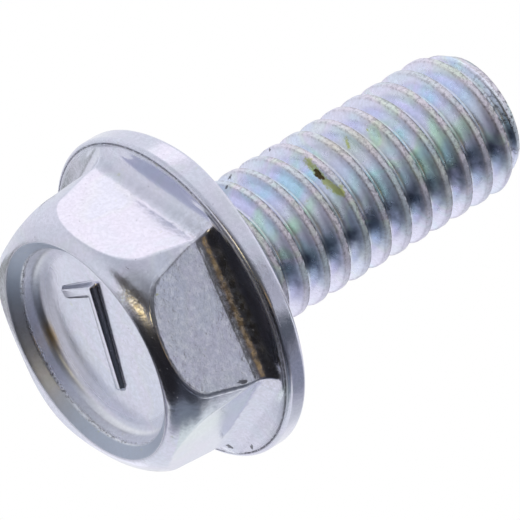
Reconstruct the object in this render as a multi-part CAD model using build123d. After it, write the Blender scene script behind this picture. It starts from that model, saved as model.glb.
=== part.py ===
from build123d import *
import math
import os

os.makedirs("parts", exist_ok=True)

# Driving dimensions in mm. The head's top rim stands on z = 0 and the threaded shank points up.
thread_pitch = 1.0
thread_diameter = 5.84
thread_length = 14.1
across_flats = 10.0
head_height = 5.0
flange_diameter = 13.1
flange_edge_thickness = 0.9

# Thread form: flat on the crest, straight flanks, flat at the root, chamfer at the tip.
crest_flat = thread_pitch / 8
root_diameter = 4.73
flank_angle = 30.0
tip_diameter = 4.8
tip_chamfer_length = 0.9
# Height of a crest over the bearing face, in the direction of +X.
crest_phase = 0.25 * thread_pitch
# How far the hollow fillet under the head reaches beyond the crests.
underhead_margin = 0.1

# Head: narrow rim round the recess, domed shoulder, sides with worn corners, hollow foot above the flange.
rim_diameter = 8.94
rim_width = 0.1
dome_radius = 1.75
shoulder_diameter = 11.1
shoulder_height = 1.55
foot_fillet = 0.75
foot_land = 0.1
foot_land_diameter = 12.65
flange_edge_round = 0.2

# Recess in the head: sloping lip, drafted wall, rounded floor corner.
recess_lip_width = 0.39
recess_lip_drop = 0.4
recess_draft = 8.0
recess_depth = 1.05
recess_floor_round = 0.4

# Raised numeral on the recess floor, seen from outside the head.
numeral_height = 0.3
numeral_stroke = 0.385
numeral_top = 2.16
numeral_bottom = -2.03
numeral_left = -1.42
numeral_right = 0.98
stem_foot_right = -0.51
numeral_up_angle = 206.0

# Places that follow from the sizes above.
bearing_z = head_height
tip_z = head_height + thread_length
crest_r = thread_diameter / 2
root_r = root_diameter / 2
half_flats = across_flats / 2
flange_r = flange_diameter / 2
flange_top_z = bearing_z - flange_edge_thickness
foot_z = flange_top_z - foot_land
flat_end_z = foot_z - foot_fillet
foot_r = half_flats + foot_fillet
rim_outer_r = (rim_diameter + rim_width) / 2
rim_inner_r = (rim_diameter - rim_width) / 2
shoulder_r = shoulder_diameter / 2
underhead_r = crest_r + underhead_margin
underhead_fillet = underhead_r - root_r


def turned(*edges):
    """Closed profile in the XZ plane, turned round the Z axis."""
    return revolve(Plane.XZ * make_face(edges), Axis.Z)


def ring(*points):
    """Turned body with straight outlines through the points, radius first."""
    return turned(*Polyline(*points, close=True).edges())


def diagonal(r, z, radius, side_r, side_z):
    """Middle of a quarter arc round r, z, on the side given by the two signs."""
    step = radius * math.sin(math.pi / 4)
    return (r + side_r * step, z + side_z * step)


def bulge(start, end, radius):
    """Middle of the arc of this radius from start to end that bulges outwards and down."""
    step_r, step_z = end[0] - start[0], end[1] - start[1]
    chord = math.hypot(step_r, step_z)
    rise = radius - math.sqrt(radius**2 - chord**2 / 4)
    return ((start[0] + end[0]) / 2 + rise * step_z / chord, (start[1] + end[1]) / 2 - rise * step_r / chord)


# Hexagon: three pairs of opposite sides, each pair one extruded outline with a hollow foot.
reach = flange_diameter
side = Polyline((0, -1), (half_flats, -1), (half_flats, flat_end_z))
hollow = ThreePointArc(
    (half_flats, flat_end_z), diagonal(foot_r, flat_end_z, foot_fillet, -1, 1), (foot_r, foot_z)
)
land = Polyline((foot_r, foot_z), (reach, foot_z), (reach, bearing_z), (0, bearing_z), (0, -1))
half_outline = make_face(side.edges() + hollow.edges() + land.edges())
outline = half_outline + mirror(half_outline, Plane.YZ)
pair = extrude(Plane.XZ * outline, reach, both=True)
hexagon = pair & (Rot(0, 0, 60) * pair) & (Rot(0, 0, 120) * pair)

# Turned envelope: narrow rim, domed shoulder, a taper that meets the corners at the foot, round land.
corner_r = half_flats / math.cos(math.radians(30))
rim_edge = (rim_outer_r, 0)
shoulder_edge = (shoulder_r, shoulder_height)
envelope = turned(
    *Polyline((0, bearing_z), (0, 0), rim_edge).edges(),
    ThreePointArc(rim_edge, bulge(rim_edge, shoulder_edge, dome_radius), shoulder_edge),
    *Polyline(
        shoulder_edge,
        (corner_r + 0.01, flat_end_z),
        (foot_land_diameter / 2, flat_end_z + 0.01),
        (foot_land_diameter / 2, bearing_z),
        (0, bearing_z),
    ).edges()
)

# Flange disc with rounded edges.
flange = ring((0, flange_top_z), (flange_r, flange_top_z), (flange_r, bearing_z), (0, bearing_z))
flange = fillet(flange.edges().filter_by(GeomType.CIRCLE), flange_edge_round)

head = (hexagon & envelope) + flange

# Recess: sloping lip, drafted wall, rounded floor corner.
wall_top_r = rim_inner_r - recess_lip_width
wall_foot_r = wall_top_r - (recess_depth - recess_lip_drop) * math.tan(math.radians(recess_draft))
recess = ring(
    (0, recess_depth),
    (wall_foot_r, recess_depth),
    (wall_top_r, recess_lip_drop),
    (rim_inner_r, 0),
    (rim_inner_r, -1),
    (0, -1),
)
floor_edge = recess.edges().filter_by(GeomType.CIRCLE).group_by(Axis.Z)[-1]
recess = fillet(floor_edge, recess_floor_round)
head = head - recess

# Numeral outline. Seen from outside the head, its right hand side lies at -x of this sketch.
stem_slope = (numeral_right - stem_foot_right) / (numeral_top - numeral_bottom)
bar_foot = numeral_top - numeral_stroke
inner_right = stem_foot_right + stem_slope * (bar_foot - numeral_bottom) - numeral_stroke
numeral_points = [
    (numeral_left, numeral_top),
    (numeral_right, numeral_top),
    (stem_foot_right, numeral_bottom),
    (stem_foot_right - numeral_stroke, numeral_bottom),
    (inner_right, bar_foot),
    (numeral_left, bar_foot),
]
numeral_face = make_face(Polyline(*[(-right, up) for right, up in numeral_points], close=True))
numeral = extrude(numeral_face, numeral_height + 0.2)
head = head + Pos(0, 0, recess_depth - numeral_height) * Rot(0, 0, numeral_up_angle - 90) * numeral

# Threaded shank: one helical ridge on a core that outruns it at both ends.
ridge_start_z = bearing_z + crest_phase - thread_pitch
turns = math.ceil(thread_length / thread_pitch) + 2
ridge_depth = crest_r - root_r + 0.06
foot_half = crest_flat / 2 + ridge_depth * math.tan(math.radians(flank_angle))
path = Pos(0, 0, ridge_start_z) * Helix(thread_pitch, turns * thread_pitch, crest_r)
section = Plane(origin=path @ 0, x_dir=(1, 0, 0), z_dir=path % 0) * make_face(
    Polyline(
        (-ridge_depth, -foot_half), (0, -crest_flat / 2), (0, crest_flat / 2), (-ridge_depth, foot_half), close=True
    )
)
ridge = sweep(section, path=path, is_frenet=True)
core_start_z = ridge_start_z - thread_pitch
core_end_z = ridge_start_z + (turns + 1) * thread_pitch
core = Pos(0, 0, core_start_z) * Cylinder(
    root_r, core_end_z - core_start_z, align=(Align.CENTER, Align.CENTER, Align.MIN)
)

# Everything outside the tip chamfer and beyond the tip is cut away.
tip_r = tip_diameter / 2
tip_taper = (crest_r - tip_r) / tip_chamfer_length
tip_cutter = ring(
    (0, tip_z),
    (tip_r, tip_z),
    (tip_r + 2 * tip_taper, tip_z - 2),
    (tip_r + 2, tip_z - 2),
    (tip_r + 2, core_end_z + 1),
    (0, core_end_z + 1),
)
shank = core + ridge - tip_cutter

# Hollow fillet that leads from the bearing face to the root of the thread.
fillet_top_z = bearing_z + underhead_fillet
collar = turned(
    *Polyline(
        (root_r, fillet_top_z),
        (0, fillet_top_z),
        (0, flange_top_z),
        (underhead_r, flange_top_z),
        (underhead_r, bearing_z),
    ).edges(),
    ThreePointArc(
        (underhead_r, bearing_z),
        diagonal(underhead_r, fillet_top_z, underhead_fillet, -1, -1),
        (root_r, fillet_top_z),
    )
)

shear_bolt = head + collar + shank
shear_bolt.label = "shear_bolt"

export_step(shear_bolt, "parts/shear_bolt.step")
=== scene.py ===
import math

import bmesh
import bpy
import numpy as np
from mathutils import Matrix, Vector, noise


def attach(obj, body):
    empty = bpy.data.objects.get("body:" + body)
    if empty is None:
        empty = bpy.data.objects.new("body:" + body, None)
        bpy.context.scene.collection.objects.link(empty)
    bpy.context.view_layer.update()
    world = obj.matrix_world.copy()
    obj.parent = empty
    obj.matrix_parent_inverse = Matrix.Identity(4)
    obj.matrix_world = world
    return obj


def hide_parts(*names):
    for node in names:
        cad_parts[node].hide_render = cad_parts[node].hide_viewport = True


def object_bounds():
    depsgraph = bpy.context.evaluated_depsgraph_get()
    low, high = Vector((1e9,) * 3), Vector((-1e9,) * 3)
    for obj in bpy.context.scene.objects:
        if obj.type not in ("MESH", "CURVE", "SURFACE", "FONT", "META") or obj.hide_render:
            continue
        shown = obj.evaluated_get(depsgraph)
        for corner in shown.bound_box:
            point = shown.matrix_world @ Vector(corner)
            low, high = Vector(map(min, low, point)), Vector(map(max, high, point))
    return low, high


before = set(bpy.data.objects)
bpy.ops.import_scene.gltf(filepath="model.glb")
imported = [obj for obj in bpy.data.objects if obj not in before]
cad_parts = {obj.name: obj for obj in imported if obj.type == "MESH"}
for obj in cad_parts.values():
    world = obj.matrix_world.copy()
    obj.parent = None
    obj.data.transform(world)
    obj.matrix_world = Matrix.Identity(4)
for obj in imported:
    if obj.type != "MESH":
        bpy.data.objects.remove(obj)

cad_low, cad_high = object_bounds()
MM = 0.001

# Sizes in millimetres. The head's rim stands on z = 0 and the thread runs along +Z.
flange_r = cad_high.x / MM
tip_z = cad_high.z / MM
bearing_z = 5.0
half_flats = 5.0
flange_thickness = 0.9
foot_land = 0.1
foot_fillet = 0.75
foot_land_r = 6.325
land_slope = 0.12
flange_edge_round = 0.2
flange_top_z = bearing_z - flange_thickness
foot_z = flange_top_z - foot_land
flat_end_z = foot_z - foot_fillet
foot_r = half_flats + foot_fillet
corner_r = half_flats / math.cos(math.radians(30))

rim_r = 4.47
rim_round = 0.2
dome_radius = 1.75
dome_centre = (3.8, 1.595)
shoulder_r, shoulder_z = 5.55, 1.55
lip_r = 3.99
lip_drop = 0.37
lip_slope = math.radians(40)
recess_depth = 1.05
floor_round = 0.4
draft = math.radians(8)

pitch = 1.0
crest_r = 2.92
root_r = 2.365
flank_tan = math.tan(math.radians(30))
crest_half = 0.13
first_crest_z = bearing_z + 0.25
underhead_r = crest_r + 0.1
tip_r = 2.4
tip_chamfer = 0.9

# Mesh density.
SIDE_COLUMNS = 64
THREAD_COLUMNS = 120

# Metres: depth of the finest relief, the camera's distance and shift, the floor.
relief_depth = 0.000012
camera_distance = 0.33422
camera_right, camera_up = 0.002576, 0.001025
floor_half = 0.6


# ---------------------------------------------------------------- mesh building

class Skin:
    """Points and faces of one mesh, built ring by ring, in millimetres."""

    def __init__(self):
        self.points = []
        self.faces = []

    def ring(self, points):
        start = len(self.points)
        self.points.extend(points)
        return list(range(start, len(self.points)))

    def band(self, a, b):
        """Quads between two closed rings of the same length."""
        n = len(a)
        for i in range(n):
            j = (i + 1) % n
            self.faces.append((a[i], a[j], b[j], b[i]))

    def stitch(self, a, b):
        """Triangles between two closed rings of different lengths, matched by angle round Z."""
        def angles(ring):
            raw = [math.atan2(self.points[i][1], self.points[i][0]) % math.tau for i in ring]
            first = raw.index(min(raw))
            order = ring[first:] + ring[:first]
            turned = raw[first:] + raw[:first]
            return order + order[:1], turned + [turned[0] + math.tau]
        ra, ta = angles(a)
        rb, tb = angles(b)
        i = j = 0
        while i < len(a) or j < len(b):
            if j >= len(b) or (i < len(a) and ta[i + 1] <= tb[j + 1]):
                self.faces.append((ra[i], ra[i + 1], rb[j]))
                i += 1
            else:
                self.faces.append((ra[i], rb[j + 1], rb[j]))
                j += 1

    def cap(self, ring, z):
        """Closes a ring with a fan round a point on the axis."""
        centre = self.ring([(0.0, 0.0, z)])[0]
        for i, a in enumerate(ring):
            self.faces.append((a, ring[(i + 1) % len(ring)], centre))


def smooth_min(a, b, width):
    """Lesser of a and b, blended where they are closer than width."""
    h = np.clip(0.5 + 0.5 * (b - a) / width, 0, 1)
    return b + (a - b) * h - width * h * (1 - h)


def smooth_max(a, b, width):
    return -smooth_min(-a, -b, width)


def arc(r, z, radius, start, end, steps):
    """Points on an arc in the r, z plane, angles in degrees from +r towards +z."""
    turn = np.radians(np.linspace(start, end, steps + 1))
    return [(r + radius * math.cos(t), z + radius * math.sin(t)) for t in turn]


# ---------------------------------------------------------------- head

def column_angles():
    """Angles of the head's columns, closer together near the six corners."""
    share = np.arange(SIDE_COLUMNS) / SIDE_COLUMNS - 0.5
    offset = 60 * share + 5.7 * np.sin(math.tau * share)
    return np.radians(np.concatenate([60 * k + offset for k in range(6)]))


def envelope(z):
    """Radius of the turned outline of the head at height z."""
    z = np.asarray(z, float)
    rim = rim_r + np.sqrt(np.clip(rim_round**2 - (rim_round - z) ** 2, 0, None))
    dome = dome_centre[0] + np.sqrt(np.clip(dome_radius**2 - (dome_centre[1] - z) ** 2, 0, None))
    top = np.where(z < 0.02, rim, dome)
    taper = shoulder_r + (corner_r + 0.01 - shoulder_r) * (z - shoulder_z) / (flat_end_z - shoulder_z)
    foot = np.minimum(corner_r + 0.01 + (z - flat_end_z) * 8, foot_land_r)
    return np.where(z < shoulder_z, top, np.where(z < flat_end_z, taper, foot))


def fullness(theta, z):
    """How much further the head's outline is filled out: the corners on the +Y side are fuller."""
    def bell(middle, width):
        off = (np.degrees(theta) - middle + 180) % 360 - 180
        return np.exp(-((off / width) ** 2))
    corners = 0.40 * bell(90, 24) + 0.36 * bell(150, 22) + 0.05 * bell(120, 60)
    rise = np.clip(z / 0.06, 0, 1)
    fade = np.clip((2.6 - z) / 1.6, 0, 1)
    return corners * rise * fade * fade * (3 - 2 * fade)


def face_distance(z):
    """Distance of a side from the axis at height z, the hollow foot included."""
    above = np.clip(z - flat_end_z, 0, foot_fillet)
    return foot_r - np.sqrt(foot_fillet**2 - above**2)


def side_radius(theta, z):
    """Radius of the head above the flange, with its edges rounded."""
    near = np.round(theta / math.radians(60))
    ways = [theta - math.radians(60) * (near + k) for k in (-1, 0, 1)]
    # The hollow starts at an uneven height.
    wobble = 0.016 * (np.sin(19 * theta + 1) + np.sin(37 * theta + 2) + np.sin(61 * theta))
    face_z = z + wobble * (1 - np.clip((z - flat_end_z) / foot_fillet, 0, 1))
    sides = [face_distance(face_z) / np.maximum(np.cos(w), 0.2) for w in ways]
    hexagon = smooth_min(smooth_min(sides[0], sides[1], 0.1), sides[2], 0.1)
    return smooth_min(hexagon, envelope(z) + fullness(theta, z), 0.05)


def head_side_rows(theta):
    """Heights of the head's rows from the rim to the foot, one array of columns per row."""
    off = theta - math.radians(60) * np.round(theta / math.radians(60))
    z_table = np.concatenate([shoulder_z * (1 - np.cos(np.linspace(0, math.pi / 2, 400))),
                              np.linspace(shoulder_z, flat_end_z, 200)[1:]])
    turn_z, columns = np.empty_like(theta), []
    for j, t in enumerate(theta):
        r_table = envelope(z_table) + fullness(t, z_table)
        length = np.concatenate([[0], np.cumsum(np.hypot(np.diff(r_table), np.diff(z_table)))])
        turn_z[j] = np.interp(half_flats / math.cos(off[j]), r_table, z_table)
        columns.append((length, np.interp(turn_z[j], z_table, length)))
    rows = []
    dome_steps, flat_steps, foot_steps = 22, 16, 14
    for i in range(dome_steps):
        share = 1 - (1 - i / dome_steps) ** 1.4
        rows.append(np.array([np.interp(turn * share, length, z_table) for length, turn in columns]))
    for i in range(flat_steps):
        rows.append(turn_z + (flat_end_z - turn_z) * (i / flat_steps) ** 1.5)
    for i in range(foot_steps + 1):
        rise = math.sin(math.pi / 2 * i / foot_steps)
        rows.append(np.full_like(theta, flat_end_z + foot_fillet * rise))
    return rows


def add_head(skin):
    theta = column_angles()
    cos, sin = np.cos(theta), np.sin(theta)

    def turned(r, z):
        r = np.broadcast_to(r, theta.shape)
        z = np.broadcast_to(z, theta.shape)
        return skin.ring(list(zip(r * cos, r * sin, z)))

    # Dish: floor, floor corner, drafted wall, sloping lip, rounded rim.
    corner_z = recess_depth - floor_round
    floor_r = lip_r - (corner_z - lip_drop) * math.tan(draft) - floor_round / math.cos(draft)
    dish = arc(floor_r, corner_z, floor_round, 90, math.degrees(draft), 12)
    foot = dish[-1]
    dish += [(foot[0] + (lip_r - foot[0]) * t, foot[1] + (lip_drop - foot[1]) * t) for t in (0.3, 0.6, 0.85)]
    rim_arc = arc(rim_r, 0.12, 0.12, 180 + math.degrees(lip_slope), 266, 5)
    dish += [(lip_r + (rim_arc[0][0] - lip_r) * t, lip_drop + (rim_arc[0][1] - lip_drop) * t)
             for t in (0.05, 0.2, 0.4, 0.6, 0.8)]
    rings = [turned(r, z) for r, z in dish + rim_arc]

    # Dome and sides, the rim first.
    for z in head_side_rows(theta):
        rings.append(turned(side_radius(theta, z) if z.max() > 0 else rim_r, z))

    # Land, crease, flange, bearing face and the hollow fillet under the head.
    last_side = side_radius(theta, np.full_like(theta, foot_z))
    for share in (0.33, 0.66):
        r = last_side + (foot_land_r - 0.03 - last_side) * share
        rings.append(turned(r, foot_z + (r - foot_r) * land_slope))
    edge = flange_r - flange_edge_round
    land_z = foot_z + (foot_land_r - foot_r) * land_slope
    outline = [
        (foot_land_r - 0.03, land_z - 0.004),
        (foot_land_r, land_z + 0.008),
        (foot_land_r + 0.02, flange_top_z + 0.022),
        (foot_land_r + 0.05, flange_top_z + 0.008),
    ]
    outline += arc(edge, flange_top_z + flange_edge_round, flange_edge_round, -80, 0, 8)
    outline += [(flange_r, flange_top_z + t) for t in (0.3, 0.4, 0.5, 0.6)]
    outline += arc(edge, bearing_z - flange_edge_round, flange_edge_round, 0, 90, 8)
    outline += [(r, bearing_z) for r in (6.1, 5.6, 5.0, 4.4, 3.8, 3.3, underhead_r)]
    fillet = underhead_r - root_r
    outline += arc(underhead_r, bearing_z + fillet, fillet, 265, 180, 10)
    # The flange's edge is a little thicker on one side.
    off = (np.degrees(theta) + 114 + 180) % 360 - 180
    thicker = 0.17 * np.exp(-((off / 26) ** 2))
    for r, z in outline:
        lift = min(max((r - 5.0) / 1.2, 0), 1) * min(max((z - 4.4) / 0.3, 0), 1)
        rings.append(turned(r, z + thicker * lift))

    for a, b in zip(rings, rings[1:]):
        skin.band(a, b)

    # Floor of the dish, coarser towards the middle.
    outer = rings[0]
    for r, count in ((3.35, 192), (3.05, 96), (2.6, 96), (2.1, 96), (1.6, 48), (1.1, 48), (0.55, 24)):
        spots = [math.tau * k / count for k in range(count)]
        inner = skin.ring([(r * math.cos(t), r * math.sin(t), recess_depth) for t in spots])
        skin.band(outer, inner) if len(inner) == len(outer) else skin.stitch(outer, inner)
        outer = inner
    skin.cap(outer, recess_depth)
    skin.cap(rings[-1], bearing_z + fillet)


# ---------------------------------------------------------------- numeral

numeral_top = 2.16
numeral_bottom = -2.03
numeral_left = -1.42
numeral_right = 0.98
numeral_stroke = 0.385
stem_foot_right = -0.51
numeral_height = 0.3
numeral_up = math.radians(206)


def numeral_outline():
    """Corners of the raised numeral, right and up as seen from outside the head."""
    slope = (numeral_right - stem_foot_right) / (numeral_top - numeral_bottom)
    bar_foot = numeral_top - numeral_stroke
    inner = stem_foot_right + slope * (bar_foot - numeral_bottom) - numeral_stroke
    return [
        (numeral_left, numeral_top), (numeral_right, numeral_top), (stem_foot_right, numeral_bottom),
        (stem_foot_right - numeral_stroke, numeral_bottom), (inner, bar_foot), (numeral_left, bar_foot),
    ]


def offset_outline(corners, grow, rounding, steps=5):
    """The outline grown outwards, with its corners rounded, as one list of points."""
    def unit(x, y):
        length = math.hypot(x, y)
        return x / length, y / length
    points, count = [], len(corners)
    for i, (x, y) in enumerate(corners):
        px, py = corners[i - 1]
        nx, ny = corners[(i + 1) % count]
        ax, ay = unit(x - px, y - py)
        bx, by = unit(nx - x, ny - y)
        left_a, left_b = (-ay, ax), (-by, bx)
        cross = ax * by - ay * bx
        # The outline runs clockwise, so its outside lies to the left.
        mx, my = left_a[0] + left_b[0], left_a[1] + left_b[1]
        scale = 1 / (1 + left_a[0] * left_b[0] + left_a[1] * left_b[1])
        outer = cross < 0
        radius = max(rounding + (grow if outer else -grow), 0.01)
        sign = 1 if outer else -1
        back = grow - sign * radius
        cx, cy = x + mx * scale * back, y + my * scale * back
        a0 = math.atan2(sign * left_a[1], sign * left_a[0])
        a1 = math.atan2(sign * left_b[1], sign * left_b[0])
        turn = (a1 - a0 + math.pi) % math.tau - math.pi
        for k in range(steps + 1):
            t = a0 + turn * k / steps
            points.append((cx + radius * math.cos(t), cy + radius * math.sin(t)))
    return points


def add_numeral(skin):
    """Raised numeral with soft edges, its foot sunk a little into the floor of the dish."""
    up = (math.cos(numeral_up), math.sin(numeral_up))
    right = (math.cos(numeral_up + math.pi / 2), math.sin(numeral_up + math.pi / 2))
    corners = numeral_outline()
    # Growth of the outline and height over the floor, from the foot to the top.
    section = [(0.22, -0.02), (0.17, 0.008), (0.13, 0.035), (0.1, 0.08), (0.06, 0.15), (0.02, 0.215),
               (-0.02, 0.262), (-0.06, 0.29), (-0.11, numeral_height)]
    rings = []
    for grow, height in section:
        wide, slim = offset_outline(corners, grow, 0.07), offset_outline(corners, 0.3 * grow, 0.07)
        spots = []
        for (a, b), (c, d) in zip(wide, slim):
            # The strike is deepest where bar and stem meet, and its walls get slimmer away from there.
            along_stem = 1 - 0.6 * (numeral_top - b) / (numeral_top - numeral_bottom)
            along_bar = min(max((a - numeral_left) / 2.4, 0.15), 1) if b > 1.5 else 1.0
            share = 0.8 * along_stem * along_bar
            a, b = c + (a - c) * share, d + (b - d) * share
            deep = height * (0.3 + 0.7 * share)
            spots.append((right[0] * a + up[0] * b, right[1] * a + up[1] * b, recess_depth - deep))
        rings.append(skin.ring(spots))
    for a, b in zip(rings, rings[1:]):
        skin.band(a, b)
    skin.faces.append(tuple(rings[-1]))
    skin.faces.append(tuple(rings[0]))


# ---------------------------------------------------------------- thread

def thread_radius(theta, z):
    """Radius of the threaded shank, crests and roots rounded, cut by the chamfer at the tip."""
    phase = (z - first_crest_z) / pitch - theta / math.tau
    off = np.abs(phase - np.round(phase)) * pitch
    flank = crest_r + 0.006 - (off - crest_half) / flank_tan
    ridge = smooth_max(smooth_min(flank, crest_r, 0.06), root_r, 0.14)
    taper = tip_r + (tip_z - z) * (crest_r - tip_r) / tip_chamfer
    return smooth_min(ridge, taper, 0.04)


def add_thread(skin):
    """Helical sheet: each column is one row pattern higher than the last by its share of the pitch."""
    half = [0.0, 0.05, 0.1, 0.13, 0.155, 0.19, 0.25, 0.32, 0.37, 0.41, 0.44, 0.47]
    pattern = half + [1 - h for h in reversed(half[1:])]
    per_turn = len(pattern)
    first_turn, last_turn = -2, math.ceil((tip_z - first_crest_z) / pitch) + 1
    levels = [turn + p for turn in range(first_turn, last_turn) for p in pattern]
    grid = {}
    for j in range(THREAD_COLUMNS):
        theta = math.tau * j / THREAD_COLUMNS
        z = first_crest_z + pitch * (np.array(levels) + theta / math.tau)
        z = np.clip(z, bearing_z - 0.5, tip_z)
        r = thread_radius(np.full_like(z, theta), z)
        ids = skin.ring([(rr * math.cos(theta), rr * math.sin(theta), zz) for rr, zz in zip(r, z)])
        for m, i in enumerate(ids):
            grid[j, m] = i
    # Past the last column the first one follows, a whole turn higher.
    for j in range(THREAD_COLUMNS):
        beside, lift = (j + 1, 0) if j + 1 < THREAD_COLUMNS else (0, per_turn)
        for m in range(len(levels) - 1 - lift):
            skin.faces.append((
                grid[j, m], grid[beside, m + lift], grid[beside, m + lift + 1], grid[j, m + 1]
            ))


# ---------------------------------------------------------------- the bolt

def build_bolt():
    skin = Skin()
    add_head(skin)
    add_numeral(skin)
    add_thread(skin)
    mesh = bpy.data.meshes.new("bolt")
    mesh.from_pydata([tuple(np.array(p) * MM) for p in skin.points], [], skin.faces)
    work = bmesh.new()
    work.from_mesh(mesh)
    bmesh.ops.remove_doubles(work, verts=work.verts, dist=1e-7)
    bmesh.ops.dissolve_degenerate(work, edges=work.edges, dist=1e-7)
    open_edges = [e for e in work.edges if e.is_boundary]
    bmesh.ops.holes_fill(work, edges=open_edges, sides=0)
    bmesh.ops.recalc_face_normals(work, faces=work.faces)
    work.to_mesh(mesh)
    work.free()
    for polygon in mesh.polygons:
        polygon.use_smooth = True
    wear(mesh)
    mark(mesh)
    bolt = bpy.data.objects.new("bolt", mesh)
    bpy.context.scene.collection.objects.link(bolt)
    return bolt


def wear(mesh):
    """Shallow unevenness of the forged skin, always inwards, from long and from short waves."""
    moved = []
    for vertex in mesh.vertices:
        p = vertex.co / MM
        depth = 0.016 * (1 + noise.noise(p * 0.6 + Vector((7, 3, 1)))) + 0.004 * (1 + noise.noise(p * 1.9))
        moved.append(p - vertex.normal * depth * 0.5)
    mesh.vertices.foreach_set("co", [c * MM for p in moved for c in p])
    mesh.update()


def ramp(low, high, value):
    """Smooth step from 0 at low to 1 at high."""
    t = np.clip((value - low) / (high - low), 0, 1)
    return t * t * (3 - 2 * t)


def bump_at(middle, width, value):
    return np.exp(-(((value - middle) / width) ** 2))


def mark(mesh):
    """Masks for the material, one value a point, worked out from where the point lies."""
    co = np.empty(len(mesh.vertices) * 3)
    mesh.vertices.foreach_get("co", co)
    x, y, z = co.reshape(-1, 3).T / MM
    r, theta = np.hypot(x, y), np.arctan2(y, x)
    thread = ramp(bearing_z - 0.1, bearing_z + 0.25, z) * (r < 3.2)
    phase = (z - first_crest_z) / pitch - theta / math.tau
    off = (phase - np.round(phase)) * pitch
    top = z < 1.2
    side = (z > 0.3) & (z < flat_end_z + 0.1)
    flat = np.abs(r * np.cos(theta + math.radians(60)) - half_flats) < 0.08
    tip = ramp(tip_z - 0.9, tip_z - 0.5, z)

    def around(azimuth, width):
        """1 at this angle round the axis in degrees, fading out to both sides."""
        return bump_at(0, width, (np.degrees(theta) - azimuth + 180) % 360 - 180)

    def near_line(a, b, width):
        """1 on the line from a to b, fading to 0 at about twice the width."""
        a, b, p = np.array(a), np.array(b), np.stack([x, y, z], 1)
        t = np.clip((p - a) @ (b - a) / ((b - a) @ (b - a)), 0, 1)
        return np.exp(-(np.linalg.norm(p - a - t[:, None] * (b - a), axis=1) / width) ** 2)

    masks = {
        "thread": thread,
        "crest": thread * ramp(0.21, 0.15, np.abs(off - 0.01)),
        "seam": thread * bump_at(0.14, 0.07, off) * (0.45 + 0.75 * around(-65, 45)),
        "shadow": thread * bump_at(-0.25, 0.09, off) * around(-62, 20),
        "lavender": thread * (around(-2, 30) + 0.8 * around(-165, 35)),
        "deep": top * ramp(lip_r, lip_r + 0.06, r) * ramp(rim_r, rim_r - 0.06, r) * around(165, 22),
        "corner": top * ramp(3.3, 3.5, r) * ramp(4.02, 3.95, r),
        "fleck": near_line((-2.83, -0.53, 9.69), (-2.85, -0.5, 9.75), 0.12)
        + near_line((-2.63, -1.0, 10.66), (-2.6, -1.05, 10.72), 0.1)
        + near_line((-2.5, -1.03, 8.6), (-2.5, -1.1, 8.66), 0.12)
        + near_line((-2.02, -1.99, 7.74), (-1.98, -2.02, 7.8), 0.1)
        + near_line((4.72, -3.06, 2.65), (4.78, -3.0, 2.85), 0.1)
        + near_line((5.15, 2.7, 3.72), (5.26, 2.82, 3.82), 0.1)
        + near_line((5.84, 1.85, 4.03), (5.84, 2.0, 4.06), 0.1),
        # Painted reflection: a dark band down one side of the thread, fainter on the crests.
        "painted_dark_band": thread * around(-40, 14) * (1 - 0.5 * ramp(0.21, 0.15, np.abs(off))),
        # Painted highlight: a lighter band down one side of the thread.
        "bright": thread * around(-70, 30),
        # Painted highlight: a light band round the upper wall of the dish, left out on the side near 120
        # degrees.
        "wall": top * ramp(0.3, 0.4, z) * ramp(3.72, 3.86, r) * ramp(4.1, 4.0, r) * (1 - around(120, 34)),
        "frost": top * (z > 0.9) * ramp(2.3, 3.1, r) * ramp(3.78, 3.6, r) * around(122, 60),
        "bronze": top * ramp(3.5, 3.62, r) * ramp(3.92, 3.82, r) * around(122, 8),
        "cool": top * ramp(3.72, 3.84, r) * ramp(4.02, 3.92, r) * around(122, 40) * (1 - around(122, 9)),
        "green": side * (np.abs(r * np.cos(theta) - half_flats) < 0.9) * around(-14, 15)
        + 0.8 * (z > 4.0) * (z < 4.2) * around(-24, 6),
        "foot": around(-60, 27) * ramp(flat_end_z - 0.02, flat_end_z + 0.08, z) * ramp(foot_z, foot_z - 0.1, z)
        + 0.7 * near_line((0.2, -4.8, 0.25), (0.9, -4.75, 0.35), 0.35),
        "slate": top * ramp(lip_r, lip_r + 0.06, r) * ramp(rim_r, rim_r - 0.06, r) * (1 - around(118, 26)),
        "lip": top * bump_at(lip_r + 0.01, 0.035, r) * ramp(0.5, 0.42, z),
        "cone": top * ramp(lip_r, lip_r + 0.06, r) * ramp(rim_r + 0.02, rim_r - 0.06, r),
        # Painted shade: the rim is darkened where its highlight would show, most on two sides.
        "rim": bump_at(rim_r, 0.09, r) * (z < 0.15) * (0.25 + 0.75 * (around(-60, 32) + around(145, 45))),
        "groove": bump_at(foot_land_r + 0.03, 0.035, r) * (z > 3.9) * (z < 4.2),
        "crease": bump_at(foot_land_r + 0.03, 0.09, r) * (z > 3.9) * (z < 4.2),
        "tip": tip * (0.25 * around(-110, 40) + around(-50, 38)),
        "pebble": side * flat,
        "straw": near_line((-1.1, -2.4, 12.0), (-0.6, -2.6, 13.6), 0.7),
        "stain": near_line((-1.2, -2.5, 10.75), (0.57, -2.76, 10.9), 0.2)
        + 0.6 * near_line((-1.3, -2.32, 12.7), (-0.8, -2.4, 12.65), 0.13)
        + 0.5 * near_line((-1.1, -2.35, 13.66), (-0.9, -2.4, 13.7), 0.12),
        "heart": near_line((-0.62, -2.6, 10.7), (-0.25, -2.62, 10.8), 0.17),
    }
    for name, values in masks.items():
        layer = mesh.attributes.new(name, "FLOAT", "POINT")
        layer.data.foreach_set("value", np.asarray(values, np.float32))


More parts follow.
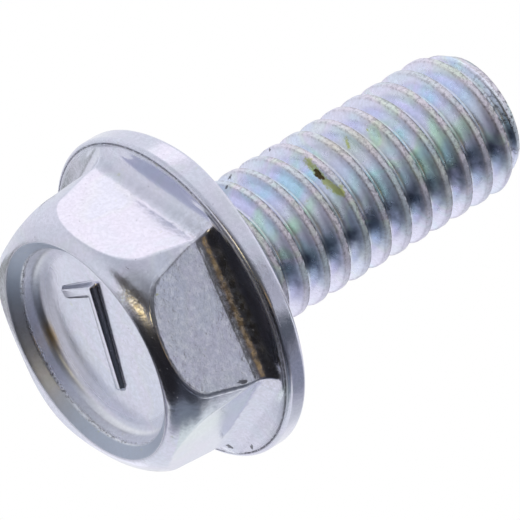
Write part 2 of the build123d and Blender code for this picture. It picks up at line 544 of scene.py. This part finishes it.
class Graph:
    """Short hand for building a material's nodes."""

    def __init__(self, material):
        self.tree = material.node_tree

    def node(self, kind, values=(), **settings):
        item = self.tree.nodes.new("ShaderNode" + kind)
        for name, value in settings.items():
            setattr(item, name, value)
        for name, value in dict(values).items():
            self.set(item.inputs[name], value)
        return item

    def set(self, socket, value):
        if isinstance(value, bpy.types.NodeSocket):
            self.tree.links.new(value, socket)
        else:
            socket.default_value = value

    def mask(self, name):
        return self.node("Attribute", attribute_name=name).outputs["Fac"]

    def noise(self, where, scale, detail=2.0, rough=0.5, distortion=0.0):
        values = {"Vector": where, "Scale": scale, "Detail": detail, "Roughness": rough}
        return self.node("TexNoise", {**values, "Distortion": distortion}).outputs["Fac"]

    def math(self, operation, a, b=0.0, clamp=False):
        return self.node("Math", {0: a, 1: b}, operation=operation, use_clamp=clamp).outputs[0]

    def step(self, value, low, high):
        values = {"Value": value, "From Min": low, "From Max": high}
        return self.node("MapRange", values, interpolation_type="SMOOTHSTEP").outputs["Result"]

    def mix(self, amount, a, b, blend="MIX"):
        values = {0: amount, 6: a, 7: b}
        return self.node("Mix", values, data_type="RGBA", blend_type=blend).outputs[2]

    def part(self, value, share):
        """A share of the value, which is a socket or a mask's name."""
        return self.math("MULTIPLY", self.mask(value) if isinstance(value, str) else value, share)

    def plus(self, base, value, share):
        """The base and a share of the value."""
        return self.math("ADD", base, self.part(value, share))

    def broken(self, value, pattern, low, high):
        """The value where the pattern is high, fading out where it falls to low."""
        return self.part(value, self.step(pattern, low, high))

    def tint(self, colour, value, share, target, blend="MIX"):
        """The colour mixed with the target colour by a share of the value."""
        return self.mix(self.part(value, share), colour, (*target, 1), blend)

    def bands(self, value, stops):
        item = self.node("ValToRGB", {"Fac": value})
        ramp_points = item.color_ramp.elements
        while len(ramp_points) < len(stops):
            ramp_points.new(0.5)
        for point, (place, colour) in zip(ramp_points, stops):
            point.position, point.color = place, (*colour, 1)
        return item.outputs["Color"]


def zinc():
    """Bright zinc with an uneven iridescent film, dirt in the seams, a fine pebbled skin, and light and shade
    painted in a few places.
    """
    material = bpy.data.materials.new("zinc_plating")
    material.use_nodes = True
    shader = material.node_tree.nodes["Principled BSDF"]
    g = Graph(material)
    where = g.node("Mapping", {"Vector": g.node("TexCoord").outputs["Object"], "Scale": (1000, 1000, 1000)})
    where = where.outputs[0]
    thread, crest = g.mask("thread"), g.mask("crest")
    wide = g.noise(where, 0.5, 1.0, 0.4, 0.6)
    grain = g.noise(where, 7.0, 4.0, 0.65)
    specks = g.noise(where, 11.0, 2.0, 0.6)

    # Film: lavender, cyan, clear, pink and straw patches, strong on the thread and faint on the head.
    film = g.bands(wide, [(0.30, (0.92, 0.95, 1.03)), (0.38, (0.84, 1.04, 1.02)), (0.46, (0.94, 0.98, 1.04)),
                          (0.54, (1.0, 0.97, 1.03)), (0.61, (0.90, 1.05, 0.90)), (0.69, (0.82, 1.0, 1.05))])
    colour = g.mix(thread, (0.66, 0.665, 0.79, 1), (0.80, 0.82, 0.97, 1))
    # Painted highlight: the thread is lightened down one side.
    colour = g.tint(colour, "bright", 1.0, (0.92, 0.97, 1.0))
    colour = g.tint(colour, crest, 1.0, (0.78, 0.745, 0.80))
    grit = g.broken(crest, g.noise(where, 8.0, 3.0, 0.7), 0.48, 0.62)
    colour = g.tint(colour, grit, 0.55, (0.30, 0.28, 0.33))
    colour = g.mix(g.plus(0.2, thread, 0.8), colour, film, "MULTIPLY")

    # Tinted places on the thread, then on the head. The shadow beside the crests, the darkened rim and the
    # light band on the dish's wall are painted shade and light.
    colour = g.tint(colour, "lavender", 0.7, (0.79, 0.78, 0.96))
    colour = g.tint(colour, "shadow", 0.7, (0.30, 0.28, 0.38))
    colour = g.tint(colour, "straw", 0.6, (0.93, 1.0, 0.72), "MULTIPLY")
    colour = g.tint(colour, "deep", 0.6, (0.22, 0.25, 0.33))
    colour = g.tint(colour, "frost", 1.0, (0.80, 0.81, 0.95))
    # Painted shade: the rim is darkened.
    colour = g.tint(colour, "rim", 0.8, (0.10, 0.10, 0.12))
    colour = g.tint(colour, "slate", 0.8, (0.36, 0.42, 0.53))
    # Painted highlight: the dish's upper wall is lightened.
    colour = g.tint(colour, "wall", 0.8, (0.93, 0.95, 1.0))
    colour = g.tint(colour, "cool", 0.8, (0.46, 0.52, 0.66))
    colour = g.tint(colour, "green", 1.0, (0.64, 0.71, 0.76))
    colour = g.tint(colour, "bronze", 0.85, (0.62, 0.45, 0.23))

    # Mottling: brown in the hollow foot, fine grain all over, a painted dark reflection in a band down one
    # side of the thread, light flecks on a face.
    mottled = g.broken("foot", g.noise(where, 5.0, 4.0, 0.7), 0.60, 0.42)
    colour = g.tint(colour, mottled, 0.8, (0.14, 0.11, 0.08))
    colour = g.tint(colour, g.step(grain, 0.62, 0.42), 0.16, (0.34, 0.35, 0.42))
    # Painted dark reflection down one side of the thread.
    painted_dark_band = g.broken("painted_dark_band", g.noise(where, 1.4, 3.0, 0.6), 0.30, 0.62)
    colour = g.tint(colour, painted_dark_band, 1.0, (0.24, 0.28, 0.36))
    flecks = g.broken("pebble", g.noise(where, 4.0, 4.0, 0.7), 0.40, 0.72)
    colour = g.tint(colour, flecks, 0.45, (0.92, 0.95, 1.0))

    # Dirt: seams of the crests, the lip's worn edge, the groove round the foot, the tip, specks, flecks.
    scratchy = g.node("Mapping", {"Vector": where, "Scale": (1, 1, 0.35)}).outputs[0]
    dirt = g.broken("seam", g.noise(where, 5.0, 4.0, 0.7), 0.40, 0.54)
    for layer in (
        g.broken("lip", specks, 0.52, 0.62),
        g.broken("groove", grain, 0.36, 0.52),
        g.broken("tip", g.noise(scratchy, 6.0, 3.0, 0.7), 0.5, 0.62),
        g.part(g.step(specks, 0.71, 0.74), 0.6),
        g.step(g.math("SUBTRACT", g.mask("fleck"), grain), 0.0, 0.15),
    ):
        dirt = g.math("MAXIMUM", dirt, layer)
    colour = g.tint(colour, dirt, 0.8, (0.09, 0.09, 0.11))

    # Straw-green stains with a brown heart on the thread.
    stain = g.plus(g.mask("stain"), g.noise(where, 2.6, 4.0, 0.65), -2.0)
    colour = g.tint(colour, g.step(stain, -0.68, -0.3), 0.9, (0.48, 0.52, 0.18))
    heart = g.math("SUBTRACT", g.mask("heart"), g.noise(where, 4.0, 3.0, 0.6))
    colour = g.tint(colour, g.step(heart, -0.02, 0.12), 1.0, (0.10, 0.07, 0.03))

    rough = g.plus(0.13, thread, 0.10)
    rough = g.plus(rough, crest, 0.18)
    for name, share in (("cone", 0.28), ("corner", 0.18), ("crease", 0.3), ("foot", 0.08)):
        rough = g.plus(rough, name, share)
    rough = g.plus(rough, g.noise(where, 1.3, 3.0, 0.6), 0.10)
    rough = g.math("ADD", rough, g.part(dirt, 0.2), clamp=True)

    # Relief: long swells, deeper where the skin is pebbled, fine grain, and pits under dirt and grit.
    pebbles = g.plus(g.part("pebble", 0.7), "foot", 1.4)
    swell = g.part(g.noise(where, 3.4, 3.0, 0.6), g.math("ADD", pebbles, 0.3))
    height = g.plus(swell, grain, 0.22)
    height = g.plus(height, dirt, -0.5)
    height = g.plus(height, grit, -0.5)
    relief = g.node("Bump", {"Height": height, "Strength": 1.0, "Distance": relief_depth})

    # The plating is frosted on the dish's floor beside the wall and a little on the wall itself.
    frosted = g.plus(g.part("frost", 0.7), "wall", 0.25)
    g.set(shader.inputs["Base Color"], colour)
    g.set(shader.inputs["Metallic"], g.math("SUBTRACT", 1.0, frosted, clamp=True))
    g.set(shader.inputs["Roughness"], rough)
    g.set(shader.inputs["Normal"], relief.outputs["Normal"])
    return material


bolt = build_bolt()
bolt.data.materials.append(zinc())
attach(bolt, "root")
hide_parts("shear_bolt")


# ---------------------------------------------------------------- camera

view_away = Vector((-0.2109, 0.8572, 0.4700)).normalized()
view_right = Vector((0.6003, -0.2659, 0.7543))
view_right = (view_right - view_away * view_right.dot(view_away)).normalized()
view_up = view_right.cross(view_away)


def add_camera():
    data = bpy.data.cameras.new("camera")
    camera = bpy.data.objects.new("camera", data)
    bpy.context.scene.collection.objects.link(camera)
    aim = Vector((0, 0, bearing_z * MM))
    camera.location = aim - view_away * camera_distance + view_right * camera_right + view_up * camera_up
    turn = Matrix((view_right, view_up, -view_away)).transposed()
    camera.rotation_mode = "QUATERNION"
    camera.rotation_quaternion = turn.to_quaternion()
    data.sensor_width = 36
    data.lens = 634
    data.clip_start, data.clip_end = 0.01, 10
    bpy.context.scene.camera = camera


add_camera()


# ---------------------------------------------------------------- studio

def add_world():
    world = bpy.data.worlds.new("studio")
    bpy.context.scene.world = world
    world.use_nodes = True
    back = world.node_tree.nodes["Background"]
    back.inputs["Color"].default_value = (1, 1, 1, 1)
    back.inputs["Strength"].default_value = 1.0


def layered(mesh, kind, colour):
    """Gives the mesh a material of this kind over a clear one; returns its tree and the share's socket."""
    material = bpy.data.materials.new(mesh.name)
    material.use_nodes = True
    tree = material.node_tree
    tree.nodes.clear()
    out = tree.nodes.new("ShaderNodeOutputMaterial")
    mix = tree.nodes.new("ShaderNodeMixShader")
    clear = tree.nodes.new("ShaderNodeBsdfTransparent")
    paint = tree.nodes.new(kind)
    paint.inputs["Color"].default_value = (*colour, 1)
    tree.links.new(clear.outputs[0], mix.inputs[1])
    tree.links.new(paint.outputs[0], mix.inputs[2])
    tree.links.new(mix.outputs[0], out.inputs["Surface"])
    mesh.materials.append(material)
    return tree, mix.inputs[0]


def card(name, lon, lat, half_lon, half_lat, colour, distance, soft):
    """A card on a stand beyond the camera's view, seen only in the metal.

    lon is measured from the camera towards the picture's right and lat towards the picture's foot, in
    degrees like the half sizes. The distance is in metres, and soft is the faded share of each half size.
    """
    steps = 32
    points, cover, faces = [], [], []
    for j in range(steps + 1):
        for i in range(steps + 1):
            u, v = 2 * i / steps - 1, 2 * j / steps - 1
            a, b = math.radians(lon + u * half_lon), math.radians(lat + v * half_lat)
            way = -view_up * math.sin(b) + (-view_away * math.cos(a) + view_right * math.sin(a)) * math.cos(b)
            points.append(way * distance)
            reach = (abs(u) ** 3 + abs(v) ** 3) ** (1 / 3)
            t = min(max((1 - reach) / soft, 0), 1)
            cover.append(t * t * (3 - 2 * t))
    row = steps + 1
    for j in range(steps):
        for i in range(steps):
            k = j * row + i
            faces.append((k, k + 1, k + row + 1, k + row))
    mesh = bpy.data.meshes.new(name)
    mesh.from_pydata(points, [], faces)
    layer = mesh.attributes.new("cover", "FLOAT", "POINT")
    layer.data.foreach_set("value", cover)
    item = bpy.data.objects.new(name, mesh)
    bpy.context.scene.collection.objects.link(item)
    tree, share = layered(mesh, "ShaderNodeEmission", colour)
    mask = tree.nodes.new("ShaderNodeAttribute")
    mask.attribute_name = "cover"
    tree.links.new(mask.outputs["Fac"], share)
    item.visible_camera = False
    item.visible_diffuse = False
    item.visible_transmission = False
    item.visible_shadow = False
    item.visible_volume_scatter = False


def add_floor():
    """Pale floor that shows only to the camera and only from above."""
    mesh = bpy.data.meshes.new("floor")
    spots = [(x * floor_half, y * floor_half, 0) for x, y in ((-1, -1), (1, -1), (1, 1), (-1, 1))]
    mesh.from_pydata(spots, [], [(0, 1, 2, 3)])
    floor = bpy.data.objects.new("floor", mesh)
    bpy.context.scene.collection.objects.link(floor)
    tree, share = layered(mesh, "ShaderNodeBsdfDiffuse", (0.9, 0.9, 0.9))
    path = tree.nodes.new("ShaderNodeLightPath")
    side = tree.nodes.new("ShaderNodeNewGeometry")
    shown = tree.nodes.new("ShaderNodeMath")
    shown.operation = "SUBTRACT"
    shown.use_clamp = True
    tree.links.new(path.outputs["Is Camera Ray"], shown.inputs[0])
    tree.links.new(side.outputs["Backfacing"], shown.inputs[1])
    tree.links.new(shown.outputs[0], share)


add_world()
add_floor()

# Where two cards overlap, the nearer one covers the other.
card("upper_grey", -15, -32, 105, 50, (0.68, 0.69, 0.71), 0.33, 0.8)
card("top_glow", -150, -77, 75, 13, (1.4, 1.33, 1.3), 0.325, 0.4)
card("left_glow", -158, 28, 15, 8, (1.3, 1.3, 1.3), 0.325, 0.6)
card("veil", -105, -2, 55, 24, (0.9, 0.9, 0.9), 0.32, 0.8)
card("low_grey", -12, 76, 132, 22, (0.24, 0.265, 0.31), 0.315, 0.25)
card("low_left", -112, 40, 20, 16, (0.36, 0.37, 0.44), 0.312, 0.8)
card("right_veil", 134, 24, 26, 20, (0.66, 0.66, 0.68), 0.31, 0.7)
card("right_slate", 106, 30, 34, 15, (0.31, 0.33, 0.39), 0.305, 0.6)
card("right_shade", 112, -6, 42, 9, (0.36, 0.36, 0.37), 0.30, 0.7)
card("mid_grey", 14, -2, 62, 34, (0.26, 0.26, 0.27), 0.295, 0.8)
card("slate_flag", 44, 42, 58, 28, (0.13, 0.135, 0.155), 0.29, 0.35)
card("dusk", 8, 12, 58, 22, (0.11, 0.11, 0.11), 0.287, 0.55)
card("black_flag", -38, 47, 64, 28, (0.018, 0.018, 0.02), 0.285, 0.25)
card("black_tongue", -78, 36, 50, 7, (0.018, 0.018, 0.02), 0.28, 0.6)
card("brown_flag", 19, 22, 20, 7, (0.42, 0.27, 0.1), 0.275, 0.8)
card("brown_glint", 12, 26, 6, 2.5, (1.3, 0.9, 0.33), 0.274, 0.8)
card("brown_spark", 24, 20.5, 7, 2.5, (1.1, 0.75, 0.28), 0.273, 0.8)
card("side_slate", 76, 18, 19, 15, (0.11, 0.12, 0.14), 0.27, 0.6)
card("edge_shade", 47, -8, 13, 13, (0.16, 0.16, 0.17), 0.268, 0.6)
card("edge_black", 53, 5, 9, 9, (0.03, 0.03, 0.03), 0.267, 0.6)
card("side_grey", 68, -6, 12, 14, (0.58, 0.59, 0.63), 0.265, 0.35)
card("low_dark", 20, 62, 50, 14, (0.045, 0.05, 0.06), 0.264, 0.5)
card("gold_shade", -37, 2, 23, 11, (0.06, 0.052, 0.045), 0.262, 0.45)
card("gold_card", -43, 18, 14, 5, (3.3, 2.6, 1.1), 0.26, 0.7)
card("left_olive", -138, 14, 12, 6, (0.32, 0.33, 0.29), 0.255, 0.7)

bpy.context.scene.view_settings.view_transform = "Standard"
